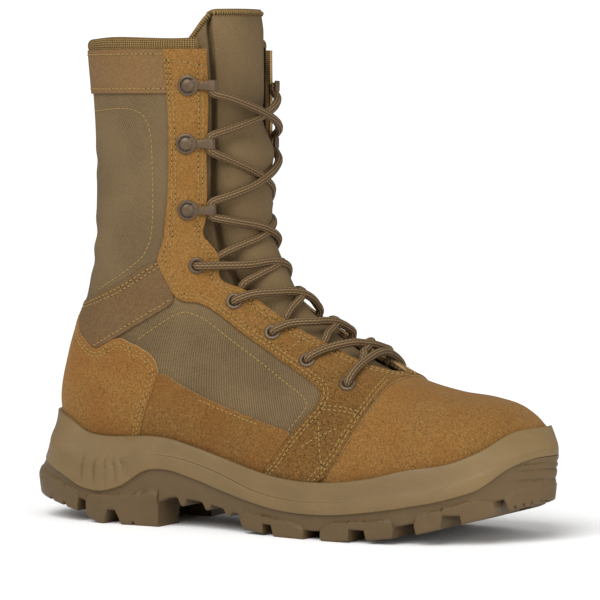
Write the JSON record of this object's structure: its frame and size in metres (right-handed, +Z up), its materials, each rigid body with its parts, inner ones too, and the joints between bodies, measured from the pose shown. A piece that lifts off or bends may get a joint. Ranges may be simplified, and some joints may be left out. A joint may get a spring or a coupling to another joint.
{
  "type": "tactical boot",
  "caption": "Right tactical boot: suede and fabric upper with a laced throat, padded collar, tall tongue and lugged rubber sole.",
  "frame": {"origin": "on the floor, under the middle of the sole's length and width", "axes": "+X to the toe, +Y to the inner (medial) side of the right foot, +Z up"},
  "size_m": [0.312, 0.1117, 0.277],
  "materials": {
    "suede": "brushed suede, matt",
    "fabric": "tight plain weave, matt",
    "webbing": "ribbed tape, matt",
    "lining": "padded mesh",
    "midsole_rubber": "moulded, matt",
    "outsole_rubber": "moulded, matt",
    "lace": "braided cord with light flecks",
    "hardware": "satin enamel"
  },
  "bodies": {
    "root": {"outsole": "outsole_rubber", "midsole": "midsole_rubber", "insole": "lining", "upper": "fabric", "tongue": "fabric", "counter": "suede", "cuff": "webbing", "collar_roll": "lining", "lace_1": "lace", "lace_2": "lace", "lace_3": "lace", "lace_4": "lace", "lace_5": "lace", "lace_6": "lace", "eyestay_lateral": "suede", "ankle_strap_lateral": "webbing", "mudguard_lateral": "suede", "eyelet_lateral_1": "hardware", "eyelet_lateral_2": "hardware", "eyelet_lateral_3": "hardware", "eyelet_lateral_4": "hardware", "eyelet_lateral_5": "hardware", "hook_lateral_1": "hardware", "hook_lateral_2": "hardware", "hook_lateral_3": "hardware", "eyestay_medial": "suede", "ankle_strap_medial": "webbing", "mudguard_medial": "suede", "eyelet_medial_1": "hardware", "eyelet_medial_2": "hardware", "eyelet_medial_3": "hardware", "eyelet_medial_4": "hardware", "eyelet_medial_5": "hardware", "hook_medial_1": "hardware", "hook_medial_2": "hardware", "hook_medial_3": "hardware"}
  },
  "joints": []
}
